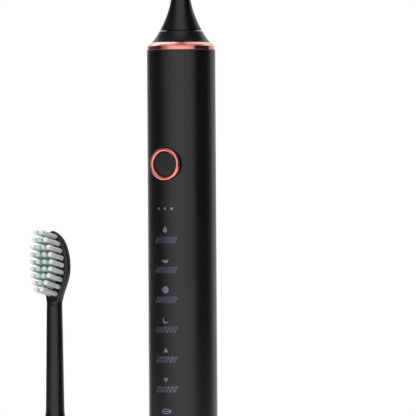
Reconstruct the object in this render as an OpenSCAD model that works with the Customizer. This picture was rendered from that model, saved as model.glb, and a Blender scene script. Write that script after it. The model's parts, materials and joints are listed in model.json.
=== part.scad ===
// Electric toothbrush standing on an inductive charging stand, with a second brush head on the stand.
// Millimetres. +Z is up, the bristles and the power button face -Y, and the origin is the centre of the
// stand's underside. Modules draw each sub-part in its own frame, and at_handle(), at_head() and
// at_spare() put it where it belongs.

/* [Handle] */
// Outside diameter of the handle
handle_d = 27; // [26:0.5:29]
// Height of the handle from its foot to the underside of the trim ring
handle_h = 160.4; // [158:0.2:164]
// Wall thickness of the handle housing
handle_wall = 1.6; // [1.4:0.1:1.8]
// Height of the cylindrical band of the trim ring
band_h = 1.4; // [1:0.05:2]
// Height of the bevel above the band
bevel_h = 1.5; // [1:0.05:2]
// Height of the flared shoulder above the trim ring
shoulder_h = 4.5; // [4:0.1:6]
// Open seam between the shoulder and the brush head
head_gap = 0.25; // [0.2:0.05:0.5]

/* [Button and mode windows] */
// Height of the power button's centre above the handle's foot
button_z = 115.3; // [113:0.1:117]
// Outside radius of the button's metal ring
button_ring_r = 6.55; // [6:0.05:6.6]
// Radius of the button's cap
button_r = 4.75; // [4.4:0.05:4.8]
// Travel of the button
button_travel = 0.4; // [0.3:0.05:0.4]
// Height of the row of three level dots
dots_z = 97.7; // [97:0.1:99]
// Height of the top mode window
icon_z = 89.7; // [88:0.1:90]
// Distance from one mode window to the next
icon_pitch = 11.95; // [11.8:0.05:12.2]

/* [Brush head] */
// Length of a brush head from its skirt to its tip
head_h = 85.2; // [84.6:0.1:88]
// Height at which the paddle joins the stem
neck_h = 55.5; // [54:0.5:57]
// Half width of the paddle at its widest
paddle_w = 6.95; // [6.7:0.05:7.2]
// Radius of one bristle tuft
tuft_r = 1; // [0.9:0.05:1.1]
// Distance from one row of tufts to the next
row_pitch = 2.84; // [2.75:0.01:2.9]
// Upward slant of the tufts, in degrees
tuft_slant = 10.5; // [0:0.5:12]
// Length of a tuft in the middle row, outside the paddle
tuft_short = 9.1; // [8:0.1:10]
// How much longer the tufts of the end rows are
tuft_cup = 2.1; // [0:0.1:2.5]

/* [Charging stand] */
// Distance between the handle's axis and the far head post
post_span = 59; // [58:0.5:64]
// Radius of the stand's round ends
stand_r = 24; // [23.5:0.5:26]
// Height of the stand's deck
deck_z = 14; // [13.6:0.1:15]
// Height of the cup's floor, where the handle stands
cup_z = 10; // [9.9:0.1:10.2]
// Radius of a head post
post_r = 1.4; // [1.2:0.1:1.4]
// Height of the straight part of a head post above its foot
post_h = 8.5; // [7:0.5:9]

/* [Hidden] */
$fn = 96;
eps = 0.01;
fit_gap = 0.05;

handle_r = handle_d / 2;
bore_r = handle_r - handle_wall;
handle_x = post_span / 2;
ring_top = handle_h + band_h + bevel_h;
shoulder_top = ring_top + shoulder_h;
head_z = shoulder_top + head_gap;

// Stem and flare: one curve runs from the stem through the skirt and on into the shoulder.
stem_foot_r = 3.9;
stem_taper = 0.0135;
flare_r = 4.4;
flare_h = 14.2;
flare_power = 1.7;
lip_r = 0.38;
lip_power = 3;
ring_bore_r = bore_r - 0.4;

// Drive train, hung from the top of the handle.
shaft_r = 1.9;
shaft_low = handle_h - 38.4;
shaft_top = head_z + 15.8;
shaft_flat = 1.45;
motor_r = 9.5;
motor_low = handle_h - 34.4;
can_low = motor_low + 3;
can_top = motor_low + 31;
core_low = can_low + 5;
core_top = can_top - 5;
hub_r = 5.3;
hub_top = can_top + 3.2;
end_t = 1.6;
bearing_r = 4.2;
damper_h = 3;
collar_low = can_top - 3;
collar_seal_z = can_top + 0.5;
seal_groove_r = 10.4;
seal_groove_h = 1.6;
shaft_seal_r = 5;

// Electronics, as distances in front of the handle's axis.
board_front = 8.2;
board_back = 7;
board_half = 8;
board_top = 122;
guide_back = 9.1;
guide_front = 11.2;
led_t = 0.7;
switch_front = 10;
plunger_front = 10.9;
seal_front = 11.25;
boss_front = 13.2;
boss_r = 6.85;

// Battery cell of the 14500 size, behind the circuit board.
cell_r = 7;
cell_low = 40;
cell_h = 50;
cell_y = 2.6;

// Wires inside the handle and the stand.
wire_r = 0.4;

// Charging cavity in the handle's foot and the peg that enters it.
cavity_r = 4.5;
cavity_h = 9.4;
cap_seal_z = 8;
o_ring_r = 11.15;
o_ring_minor = 0.7;
coil_bore_r = 5.75;
coil_top = 8.2;
peg_r = 4;
peg_h = 9;

// Stand.
pad_h = 1.2;
plate_h = 2;
plate_top = pad_h + plate_h;
ledge_z = plate_top + 0.7;
board_z = 4.6;
board_t = 1.6;
usb_w = 8.94;
usb_h = 3.26;
usb_low = 15.2;
usb_len = 7.2;
usb_z = board_z + board_t + usb_h / 2;
bobbin_z = board_z + board_t;
flange_r = 5.2;

// Brush head.
skirt_wall = 1.2;
clip_r = 2.75;
clip_low = 9.5;
clip_h = 6;
head_bore_r = shaft_r + fit_gap;
head_bore_top = 15.85;
paddle_front = 1.5;
paddle_back = 2.8;
tuft_rows = 9;
tuft_root = 1.5;
tuft_depth = 2.1;
tuft_mid_z = 71.45;
widest_z = 71;
widen_z = neck_h + 0.5;
widen_power = 1.15;
tip_power = 0.62;
half_span_mid = 4.5;
half_span_end = 1.4;

// ---------- helpers ----------

// Points of an arc about a centre, from angle a0 to a1.
function arc(centre, r, a0, a1, n = 8) =
    [for (i = [0:n]) centre + r * [cos(a0 + (a1 - a0) * i / n), sin(a0 + (a1 - a0) * i / n)]];

// Radius of the stem, skirt and shoulder at height h above the skirt's edge.
function flare(h) =
    stem_foot_r - stem_taper * h + flare_r * pow(max(0, 1 - h / flare_h), flare_power);

// Half width of the paddle's outline at height h.
function paddle_half(h) =
    h > widest_z
    ? paddle_w * pow(max(0, 1 - pow((h - widest_z) / (head_h - widest_z), 2)), tip_power)
    : let (neck = flare(neck_h), t = min(1, (widest_z - h) / (widest_z - widen_z)))
      neck + (paddle_w - neck) * (1 + cos(180 * pow(t, widen_power))) / 2;

// Half width of a row of tufts, where u runs from -1 at the lowest row to 1 at the top one.
function row_half(u) = half_span_end + (half_span_mid - half_span_end) * (1 - u * u);

// Tufts in the row that lies u from the middle: two at each end, then three, then four.
function row_count(u) = abs(u) > 0.9 ? 2 : abs(u) > 0.7 ? 3 : 4;

module tube(r_out, r_in, z0, z1) {
    translate([0, 0, z0])
        difference() {
            cylinder(r = r_out, h = z1 - z0);
            translate([0, 0, -1])
                cylinder(r = r_in, h = z1 - z0 + 2);
        }
}

module rod(r, z0, z1) {
    translate([0, 0, z0])
        cylinder(r = r, h = z1 - z0);
}

// A box from its lowest corner to its highest one.
module block(low, high) {
    translate(low)
        cube(high - low);
}

// A shape drawn in the XZ plane, run forward from y = -d0 to y = -d1.
module forward(d0, d1) {
    translate([0, -d0, 0])
        rotate([90, 0, 0])
            linear_extrude(d1 - d0)
                children();
}

// A round ended plan: the profile of radius and height goes round both ends and along both sides.
module round_plan(profile) {
    for (s = [-1, 1]) {
        translate([s * handle_x, 0, 0])
            rotate([0, 0, -90 * s])
                rotate_extrude(angle = 180)
                    polygon(profile);
        mirror([0, (1 - s) / 2, 0])
            translate([-handle_x, 0, 0])
                rotate([90, 0, 90])
                    linear_extrude(post_span)
                        polygon(profile);
    }
}

module o_ring(r, minor, z) {
    translate([0, 0, z])
        rotate_extrude()
            translate([r, 0])
                circle(r = minor, $fn = 32);
}

module at_handle() {
    translate([handle_x, 0, cup_z])
        children();
}

module at_head() {
    translate([handle_x, 0, cup_z + head_z])
        children();
}

module at_spare() {
    translate([-handle_x, 0, deck_z])
        children();
}

// ---------- charging stand ----------

stand_edge = 4;
stand_draft = 0.8;
cover_wall = 2;
ledge_w = 1;
screw_ring = 18.65;
screw_angle = 50;
screw_r = 1;
post_root_r = 2.2;
post_foot_r = 6;
post_foot_h = 1;

module stand_screw_places() {
    for (sx = [-1, 1], sy = [-1, 1])
        translate([sx * (handle_x + screw_ring * cos(screw_angle)), sy * screw_ring * sin(screw_angle), 0])
            children();
}

module board_screw_places() {
    for (p = [[-19, -9], [9, -9], [-19, 12]])
        translate([p[0], p[1], 0])
            children();
}

module charger_cover() {
    shoulder = deck_z - stand_edge;
    top_r = stand_r - stand_draft;
    inner_top = deck_z - cover_wall;
    boss_wall = 1.8;
    floor_t = 2;
    slot_w = usb_w + 0.7;
    slot_h = usb_h + 0.7;
    peg_wall = 0.9;
    peg_bore_r = peg_r - peg_wall;
    cup_r = handle_r + 0.6;
    color("#1d1d1f")
        difference() {
            union() {
                difference() {
                    round_plan(concat(
                        [[0, 1], [stand_r - 0.4, 1], [stand_r, 1.4]],
                        arc([top_r - stand_edge, shoulder], stand_edge, 0, 90),
                        [[0, deck_z]]
                    ));
                    round_plan([
                        [0, 0], [stand_r - cover_wall, 0], [stand_r - cover_wall, ledge_z],
                        [stand_r - cover_wall - ledge_w, ledge_z],
                        [stand_r - cover_wall - ledge_w, shoulder - 1],
                        [top_r - stand_edge, inner_top], [0, inner_top]
                    ]);
                }
                at_handle()
                    rod(bore_r + 4, -floor_t, cover_wall + eps);
                stand_screw_places()
                    rod(2.4, plate_top, inner_top + eps);
            }
            at_handle() {
                rod(cup_r, 0, deck_z);
                translate([0, 0, deck_z - cup_z - 0.6])
                    cylinder(r1 = cup_r, r2 = cup_r + 0.9, h = 0.9);
            }
            stand_screw_places()
                rod(screw_r + fit_gap, plate_top - 1, plate_top + 6);
            for (x = [0, -handle_x])
                translate([x, 0, 0])
                    rod(post_root_r + fit_gap, inner_top - 1, deck_z + 1);
            at_handle()
                rod(peg_bore_r, -floor_t - 1, eps);
            translate([0, stand_r - 6, usb_z])
                rotate([-90, 0, 0])
                    linear_extrude(10)
                        slot_shape(slot_w, slot_h);
        }
    color("#1d1d1f")
        at_handle()
            rotate_extrude()
                polygon(concat(
                    [[peg_bore_r, -floor_t], [peg_r + 0.6, -floor_t + 1], [peg_r + 0.6, eps], [peg_r, 0.6]],
                    arc([peg_r - 1.2, peg_h - 1.2], 1.2, 0, 90),
                    [[0, peg_h], [0, peg_h - peg_wall], [peg_bore_r, peg_h - peg_wall]]
                ));
}

// A flat sided shape with round ends, w wide and h high.
module slot_shape(w, h) {
    square([w - h, h], center = true);
    for (s = [-1, 1])
        translate([s * (w - h) / 2, 0])
            circle(d = h, $fn = 48);
}

module charger_plate() {
    color("#2a2a2c")
        difference() {
            union() {
                round_plan([
                    [0, pad_h], [stand_r - cover_wall - 0.1, pad_h],
                    [stand_r - cover_wall - 0.1, plate_top], [0, plate_top]
                ]);
                board_screw_places()
                    rod(2.2, plate_top - eps, board_z);
                translate([handle_x, 0, 0])
                    rod(3, plate_top - eps, bobbin_z);
            }
            stand_screw_places() {
                rod(screw_r + 0.2, 0, plate_top + 1);
                translate([0, 0, pad_h - eps])
                    cylinder(r1 = 2.1, r2 = screw_r + 0.2, h = 1);
            }
            board_screw_places()
                rod(0.7, pad_h + 0.6, board_z + 1);
        }
}

module plate_seal() {
    outer = stand_r - cover_wall - 0.1;
    color("#3c3c40")
        round_plan([
            [outer - 0.8, plate_top], [outer, plate_top],
            [outer, ledge_z], [outer - 0.8, ledge_z]
        ]);
}

module foot_pad() {
    pad_r = stand_r - 3.5;
    color("#48484c")
        round_plan([[0, 0], [pad_r - 0.3, 0], [pad_r, 0.3], [pad_r, pad_h], [0, pad_h]]);
}

module plate_screws() {
    color("#b8bcc0")
        stand_screw_places()
            difference() {
                union() {
                    rod(screw_r, pad_h + 1, plate_top + 5.5);
                    translate([0, 0, pad_h + 0.05])
                        cylinder(r1 = 1.95, r2 = screw_r, h = 1);
                }
                for (a = [0, 90])
                    rotate([0, 0, a])
                        block([-1.2, -0.2, 0], [1.2, 0.2, pad_h + 0.7]);
            }
}

module head_posts() {
    color("#1d1d1f")
        for (x = [0, -handle_x])
            translate([x, 0, deck_z])
                union() {
                    rod(post_root_r, -cover_wall, eps);
                    rod(post_foot_r, 0, post_foot_h);
                    rod(post_r, post_foot_h - eps, post_foot_h + post_h);
                    translate([0, 0, post_foot_h + post_h])
                        rotate_extrude()
                            polygon(concat([[0, -eps]], arc([0, 0], post_r, 0, 90)));
                }
}

module transmit_bobbin() {
    color("#d9d4c4")
        at_handle() {
            tube(flange_r, 1.6, bobbin_z - cup_z, -2.1);
            tube(1.95, 1.6, -2.2, 7.6);
            tube(2.95, 1.6, -1.6, -1);
            tube(2.95, 1.6, 7, 7.6);
        }
}

module transmit_coil() {
    color("#b5673a")
        at_handle()
            tube(2.85, 2, -0.95, 6.95);
}

module ferrite_rod() {
    color("#3a3a3e")
        at_handle()
            rod(1.55, bobbin_z - cup_z, 7.7);
}

module coil_leads() {
    start = 8;
    spread = 1.5;
    reach = sqrt(pow(flange_r, 2) - pow(spread - wire_r, 2));
    color("#a8322c")
        for (y = [-spread, spread])
            translate([start, y, board_z + board_t + wire_r])
                rotate([0, 90, 0])
                    rod(wire_r, 0, handle_x - start - reach);
}

module charger_board() {
    color("#1f5a3c")
        difference() {
            block([-22, -12, board_z], [12, 20.5, board_z + board_t]);
            board_screw_places()
                rod(0.9, 0, deck_z);
        }
}

module charger_board_screws() {
    color("#b8bcc0")
        board_screw_places() {
            rod(0.65, pad_h + 0.8, board_z + board_t);
            difference() {
                rod(1.6, board_z + board_t, board_z + board_t + 1);
                block([-1.1, -0.2, board_z + board_t + 0.5], [1.1, 0.2, deck_z]);
            }
        }
}

module charger_chips() {
    top = board_z + board_t;
    color("#26262a") {
        block([-9, -4, top], [-4, 0, top + 1]);
        block([2, 4, top], [5, 7, top + 0.9]);
        for (x = [-16, -12, -8])
            block([x, 5, top], [x + 1.6, 5.8, top + 0.6]);
        translate([-14, -3, top])
            cylinder(r = 2.5, h = 4.6);
        block([0, -9, top], [5, -4, top + 3]);
    }
}

module usb_socket() {
    color("#c4c8cc")
        translate([0, usb_low, usb_z])
            rotate([-90, 0, 0])
                difference() {
                    linear_extrude(usb_len)
                        slot_shape(usb_w, usb_h);
                    translate([0, 0, 0.8])
                        linear_extrude(usb_len)
                            slot_shape(usb_w - 0.6, usb_h - 0.6);
                }
}

module usb_tongue() {
    color("#202024")
        block([-3.34, usb_low + 0.8, usb_z - 0.35], [3.34, usb_low + usb_len - 0.8, usb_z + 0.35]);
}

// ---------- mode windows ----------

function tear_points(w, h, n = 28) =
    [for (i = [0:n - 1]) let (t = 360 * i / n) [w * sin(t) * pow(sin(t / 2), 1.5), h * cos(t)]];

module drop_icon() {
    polygon(tear_points(1.35, 1.4));
}

module bowl_icon() {
    translate([0, -0.2])
        polygon([for (i = [0:16]) [-1.5 * cos(180 * i / 16), -1.25 * sin(180 * i / 16)]]);
}

module disc_icon() {
    circle(r = 1.45, $fn = 48);
}

module crescent_icon() {
    difference() {
        circle(r = 1.4, $fn = 48);
        translate([0.6, 0.65])
            circle(r = 1.35, $fn = 48);
    }
}

module triangle_icon(way) {
    translate([0, 0.25])
        polygon([[-1.15, -0.95 * way], [1.15, -0.95 * way], [0, 0.95 * way]]);
}

module battery_icon() {
    slot_shape(3.6, 2);
    translate([1.6, -0.45])
        square([0.65, 0.9]);
}

module window_shapes() {
    for (x = [-2.95, 0, 2.95])
        translate([x, dots_z])
            circle(r = 0.55, $fn = 32);
    translate([0, icon_z])
        drop_icon();
    translate([0, icon_z - icon_pitch])
        bowl_icon();
    translate([0, icon_z - 2 * icon_pitch])
        disc_icon();
    translate([0, icon_z - 3 * icon_pitch])
        crescent_icon();
    translate([0, icon_z - 4 * icon_pitch])
        triangle_icon(1);
    translate([0, icon_z - 5 * icon_pitch])
        triangle_icon(-1);
    translate([0, icon_z - 6 * icon_pitch])
        battery_icon();
}

// ---------- handle ----------

module along_button(d0, d1, r) {
    translate([0, 0, button_z])
        forward(d0, d1)
            circle(r = r);
}

module handle_housing() {
    housing_low = 3.05;
    seat_back = 10.6;
    color("#242426")
        difference() {
            union() {
                rotate_extrude()
                    polygon([
                        [bore_r, housing_low], [handle_r - 0.2, housing_low], [handle_r, housing_low + 0.2],
                        [handle_r, handle_h - 0.25], [handle_r - 0.2, handle_h - 0.05],
                        [bore_r, handle_h - 0.05]
                    ]);
                along_button(seat_back, boss_front, boss_r);
            }
            along_button(boss_front, handle_r + 2, boss_r);
            along_button(0, seal_front + fit_gap, button_ring_r + 0.1);
            along_button(0, handle_r + 2, button_r + 0.45);
            forward(guide_front - eps, handle_r + 2)
                window_shapes();
        }
}

module light_guide() {
    color("#9aa0b4") {
        intersection() {
            forward(guide_front - eps, handle_r + 2)
                window_shapes();
            rod(handle_r, 0, handle_h);
        }
        block([-3.6, -guide_front, 13.5], [3.6, -guide_back, 103]);
    }
}

module button_ring() {
    inner = button_r + 0.1;
    crown_h = 1;
    mid = (inner + button_ring_r) / 2;
    half = (button_ring_r - inner) / 2;
    color("#e0705c")
        translate([0, 0, button_z])
            rotate([90, 0, 0])
                rotate_extrude()
                    polygon(concat(
                        [[inner, boss_front - 1.8], [inner + 0.3, boss_front - 1.8], [inner + 0.3, boss_front]],
                        [for (i = [0:10]) [mid + half * cos(18 * i), boss_front + crown_h * sin(18 * i)]]
                    ));
}

module power_button() {
    color("#2b2b2d")
        translate([0, 0, button_z])
            rotate([90, 0, 0])
                rotate_extrude()
                    polygon([
                        [0, plunger_front + 0.02], [2, plunger_front + 0.02], [2, 12], [button_r, 12],
                        [button_r, 13.15], [button_r - 0.35, 13.45], [button_r * 0.55, 13.58], [0, 13.62]
                    ]);
}

module button_seal() {
    color("#4a4a4e")
        translate([0, 0, button_z])
            forward(10.6, seal_front)
                difference() {
                    circle(r = button_ring_r);
                    circle(r = 2 + fit_gap);
                }
}

module switch_body() {
    color("#c9c9cc")
        difference() {
            block([-3, -switch_front, button_z - 3], [3, -board_front, button_z + 3]);
            along_button(switch_front - 1.2, switch_front + 1, 1.3);
        }
}

module switch_plunger() {
    color("#222226")
        along_button(switch_front - 0.7, plunger_front, 1.2);
}

module bottom_cap() {
    foot_round = 2;
    plug_r = bore_r - 0.1;
    plug_top = 12;
    coil_room_r = 9.4;
    cavity_wall = 1.1;
    color("#242426")
        difference() {
            rotate_extrude()
                polygon(concat(
                    [[cavity_r + 0.4, 0], [handle_r - foot_round, 0]],
                    arc([handle_r - foot_round, foot_round], foot_round, -80, 0, 6),
                    [
                        [handle_r, 2.9], [plug_r, 3], [plug_r, plug_top], [coil_room_r, plug_top],
                        [coil_room_r, 2], [cavity_r + cavity_wall, 2],
                        [cavity_r + cavity_wall, cavity_h + 1.2], [0, cavity_h + 1.2], [0, cavity_h],
                        [cavity_r, cavity_h], [cavity_r, 0.4]
                    ]
                ));
            tube(plug_r + 1, seal_groove_r, cap_seal_z - seal_groove_h / 2, cap_seal_z + seal_groove_h / 2);
        }
}

module cap_seal() {
    color("#5a2a24")
        o_ring(o_ring_r, o_ring_minor, cap_seal_z);
}

module receive_coil() {
    color("#b5673a")
        tube(8.6, coil_bore_r, 2.6, coil_top);
}

module coil_shield() {
    color("#3a3a3e")
        difference() {
            tube(9, coil_bore_r, coil_top + 0.3, coil_top + 1.3);
            lead_places()
                rod(wire_r + 0.2, coil_top, coil_top + 2);
        }
}

module lead_places() {
    for (x = [-2, 2])
        translate([x, -board_back + wire_r, 0])
            children();
}

module wire_leads() {
    color("#a8322c")
        lead_places() {
            rod(wire_r, coil_top, 20);
            rod(wire_r, board_top - 7, can_low - end_t);
        }
}

module chassis() {
    rib = 1.6;
    outer = bore_r - 0.25;
    rail_out = 9.2;
    rail_in = 7.2;
    low = 12.2;
    color("#d8d8da")
        difference() {
            union() {
                difference() {
                    tube(outer, outer - 1.2, low, collar_low - 0.5);
                    block([-20, -20, 0], [20, -1, 200]);
                }
                intersection() {
                    rod(outer, low, board_top);
                    union() {
                        for (s = [-1, 1])
                            block(
                                [min(s * rail_out, s * rail_in), -board_back, low],
                                [max(s * rail_out, s * rail_in), 0, board_top]
                            );
                        for (z = [low, cell_low - 2, cell_low + cell_h + rib, board_top - 10, board_top - rib])
                            block([-11, -6, z], [11, 12, z + rib]);
                        for (z = [low + 0.8, board_top - 9])
                            block([-rail_in - 0.2, -board_back, z], [rail_in + 0.2, -3.4, z + 8]);
                    }
                }
            }
            lead_places()
                rod(wire_r + 0.2, 0, 200);
            main_board_screw_places()
                forward(board_back - 3, board_back + 1)
                    circle(r = 0.65, $fn = 32);
            battery_tab_paths();
        }
}

module main_board_screw_places() {
    for (x = [-5.8, 5.8], z = [16.5, 117.6])
        translate([x, 0, z])
            children();
}

module battery_tab_paths() {
    for (z = [cell_low - 0.4, cell_low + cell_h])
        block([-2.2, -board_back, z - 0.05], [2.2, cell_y + 3, z + 0.4]);
}

module battery_cell() {
    color("#3f7f5f")
        translate([0, cell_y, 0])
            rotate_extrude()
                polygon([
                    [0, cell_low], [cell_r - 0.4, cell_low], [cell_r, cell_low + 0.4],
                    [cell_r, cell_low + cell_h - 0.6], [cell_r - 0.6, cell_low + cell_h], [0, cell_low + cell_h]
                ]);
}

module battery_tabs() {
    color("#c4c8cc")
        for (z = [cell_low - 0.3, cell_low + cell_h])
            block([-2, -board_back, z], [2, cell_y + 2.8, z + 0.3]);
}

module main_board() {
    color("#1f5a3c")
        difference() {
            block([-board_half, -board_front, 14.5], [board_half, -board_back, board_top]);
            main_board_screw_places()
                forward(board_back - 1, board_front + 1)
                    circle(r = 0.8, $fn = 32);
        }
}

module main_board_screws() {
    color("#b8bcc0")
        main_board_screw_places()
            difference() {
                union() {
                    forward(board_back - 2.6, board_front)
                        circle(r = 0.6, $fn = 32);
                    forward(board_front, board_front + 0.7)
                        circle(r = 1.2, $fn = 32);
                }
                block([-0.9, -12, -0.15], [0.9, -board_front - 0.4, 0.15]);
            }
}

// Parts on the back of the board: left edge, low edge, width, height and thickness.
back_parts = [
    [-2.5, 100, 5, 5, 1], [3.5, 96, 3, 3, 1.2], [-6.5, 96, 2.4, 1.4, 0.8], [-6.5, 106, 3, 4, 1],
    [2.6, 107, 2, 1.2, 0.7], [-4, 30, 4, 4, 1.2], [2, 28, 3, 3, 1.5], [-1, 24, 1.6, 0.8, 0.6]
];

module board_chips() {
    color("#26262a")
        for (p = back_parts)
            block([p[0], -board_back, p[1]], [p[0] + p[2], -board_back + p[4], p[1] + p[3]]);
}

module mode_leds() {
    color("#f0e8c0") {
        for (i = [0:6])
            block(
                [-0.8, -board_front - led_t, icon_z - i * icon_pitch - 0.4],
                [0.8, -board_front, icon_z - i * icon_pitch + 0.4]
            );
        for (x = [-2.95, 0, 2.95])
            block([x - 0.5, -board_front - led_t, dots_z - 0.4], [x + 0.5, -board_front, dots_z + 0.4]);
    }
}

module trim_ring() {
    band_r = handle_r - 0.1;
    bevel_w = band_r - ring_bore_r;
    bulge = 0.06;
    color("#e0806c")
        rotate_extrude()
            polygon(concat(
                [[ring_bore_r, handle_h], [band_r - 0.1, handle_h], [band_r, handle_h + 0.1]],
                [
                    for (t = [0:0.125:1])
                        [band_r - bevel_w * t, handle_h + band_h + bevel_h * t] + bulge * sin(180 * t) * [1, 1]
                ]
            ));
}

module shoulder_collar() {
    steps = 16;
    spigot_r = bore_r - 0.08;
    bore_in_ring = ring_bore_r - 0.08;
    nose_r = 5.4;
    nose_h = head_gap - fit_gap;
    throat_r = 2.6;
    motor_room_r = motor_r + 0.4;
    motor_room_top = hub_top + 0.1;
    groove_low = collar_seal_z - seal_groove_h / 2;
    color("#242426")
        difference() {
            rotate_extrude()
                polygon(concat(
                    [
                        [motor_room_r, collar_low], [spigot_r, collar_low], [spigot_r, handle_h - 0.1],
                        [bore_in_ring, handle_h - 0.1], [bore_in_ring, ring_top]
                    ],
                    [
                        for (i = [0:steps])
                            let (t = 1 - i / steps, below = -head_gap - shoulder_h * t)
                            [flare(below) + lip_r * pow(t, lip_power), ring_top + shoulder_h * (1 - t) + eps]
                    ],
                    [
                        [nose_r, shoulder_top + eps], [nose_r - 0.1, shoulder_top + nose_h],
                        [throat_r, shoulder_top + nose_h],
                        [throat_r, shoulder_top - 2.5], [shaft_seal_r + fit_gap, shoulder_top - 2.5],
                        [shaft_seal_r + fit_gap, motor_room_top], [motor_room_r, motor_room_top]
                    ]
                ));
            tube(spigot_r + 1, seal_groove_r, groove_low, groove_low + seal_groove_h);
        }
}

module collar_seal() {
    color("#5a2a24")
        o_ring(o_ring_r, o_ring_minor, collar_seal_z);
}

module shaft_seal() {
    low = hub_top + 0.5;
    top = shoulder_top - 2.6;
    color("#6a6a70")
        rotate_extrude()
            polygon([
                [3.6, low], [shaft_seal_r, low], [shaft_seal_r, top], [shaft_r + fit_gap, top],
                [shaft_r + fit_gap, top - 1], [3.2, top - 2], [3.6, top - 3]
            ]);
}

// ---------- motor ----------

module motor_can() {
    color("#b4b8bc")
        tube(motor_r, motor_r - 0.6, can_low, can_top);
}

module motor_end(z0, z1, hub0, hub1) {
    color("#c8ccd0")
        difference() {
            union() {
                rod(motor_r, z0, z1);
                rod(hub_r, hub0, hub1);
            }
            rod(bearing_r + fit_gap, hub0 - 1, hub1 + 1);
        }
}

module motor_front_cap() {
    motor_end(can_top, can_top + end_t, can_top, hub_top);
}

module motor_rear_cap() {
    motor_end(can_low - end_t, can_low, motor_low, can_low);
}

module motor_bearings() {
    color("#b8893c") {
        tube(bearing_r, shaft_r + fit_gap, can_top + 0.2, can_top + 3);
        tube(bearing_r, shaft_r + fit_gap, motor_low + 0.1, motor_low + 2.9);
    }
}

module stator_core() {
    color("#8a8e94")
        difference() {
            union() {
                tube(motor_r - 0.65, 8, core_low, core_top);
                intersection() {
                    rod(8.1, core_low, core_top);
                    union()
                        for (s = [0, 1])
                            mirror([s, 0, 0]) {
                                block([5, -1.6, core_low], [9, 1.6, core_top]);
                                block([4, -3.2, core_low], [5.7, 3.2, core_top]);
                            }
                }
            }
            rod(4.95, 0, 200);
        }
}

module motor_coils() {
    color("#b5673a")
        intersection() {
            rod(7.9, core_low - 3, core_top + 3);
            union()
                for (s = [0, 1])
                    mirror([s, 0, 0])
                        difference() {
                            block([5.8, -4.6, core_low - 2.5], [7.9, 4.6, core_top + 2.5]);
                            block([5, -1.7, core_low - 0.1], [9, 1.7, core_top + 0.1]);
                        }
        }
}

module motor_dampers() {
    damper_r = bore_r - 1.55;
    color("#4a4a4e") {
        for (z = [can_low + 1.5, can_top - 8])
            tube(damper_r, motor_r + fit_gap, z, z + damper_h);
    }
}

module drive_shaft() {
    color("#c8ccd0")
        difference() {
            union() {
                rod(shaft_r, shaft_low, shaft_top - 0.5);
                translate([0, 0, shaft_top - 0.5 - eps])
                    cylinder(r1 = shaft_r, r2 = shaft_r - 0.45, h = 0.5);
            }
            block([-4, -4, head_z + clip_low - 1], [4, -shaft_flat, shaft_top + 1]);
        }
}

module rotor_core() {
    color("#8a8e94")
        tube(3.2, shaft_r + 0.02, core_low, core_top);
}

module rotor_magnets() {
    slot = 0.7;
    color("#9a9ca4")
        difference() {
            tube(4.6, 3.22, core_low, core_top);
            for (a = [0, 90])
                rotate([0, 0, a])
                    block([-6, -slot, 0], [6, slot, 200]);
        }
}

// ---------- brush heads ----------

module stem() {
    steps = 20;
    skirt_h = clip_low - 0.5;
    seam = 0.15;
    color("#1e1e20")
        difference() {
            rotate_extrude()
                polygon(concat(
                    [[0, 0]],
                    [for (i = [0:steps]) [flare(flare_h * i / steps), flare_h * i / steps]],
                    [
                        [flare(neck_h), neck_h - seam], [flare(neck_h) - seam, neck_h], [0, neck_h]
                    ]
                ));
            translate([0, 0, -eps])
                rotate_extrude()
                    polygon(concat(
                        [[0, 0]],
                        [for (i = [0:10]) [flare(skirt_h * i / 10) - skirt_wall, skirt_h * i / 10]],
                        [[0, skirt_h]]
                    ));
            rod(clip_r + fit_gap, skirt_h - 1, clip_low + clip_h);
            rod(head_bore_r, clip_low, head_bore_top);
        }
}

module clip() {
    color("#dcdce0")
        difference() {
            rod(clip_r, clip_low, clip_low + clip_h);
            intersection() {
                rod(head_bore_r, 0, 30);
                block([-4, -shaft_flat - fit_gap, 0], [4, 4, 30]);
            }
        }
}

// Puts its children at each tuft's foot on the paddle's face, with +Z along the tuft.
module each_tuft(inner) {
    for (row = [0:tuft_rows - 1]) {
        u = 2 * row / (tuft_rows - 1) - 1;
        n = row_count(u);
        for (i = [0:n - 1])
            if ((i > 0 && i < n - 1) == inner) {
                $tuft_len = tuft_short + tuft_cup * u * u;
                translate([
                    row_half(u) * (2 * i / (n - 1) - 1), -paddle_front,
                    tuft_mid_z + row_pitch * (tuft_rows - 1) / 2 * u
                ])
                    rotate([90 - tuft_slant, 0, 0])
                        children();
            }
    }
}

module tufts(inner) {
    each_tuft(inner)
        rod(tuft_r, -tuft_root, $tuft_len);
}

module anchors() {
    color("#c9b26a")
        for (inner = [false, true])
            each_tuft(inner)
                block([-1, -0.12, -tuft_depth + 0.05], [1, 0.12, -tuft_root - 0.05]);
}

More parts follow.
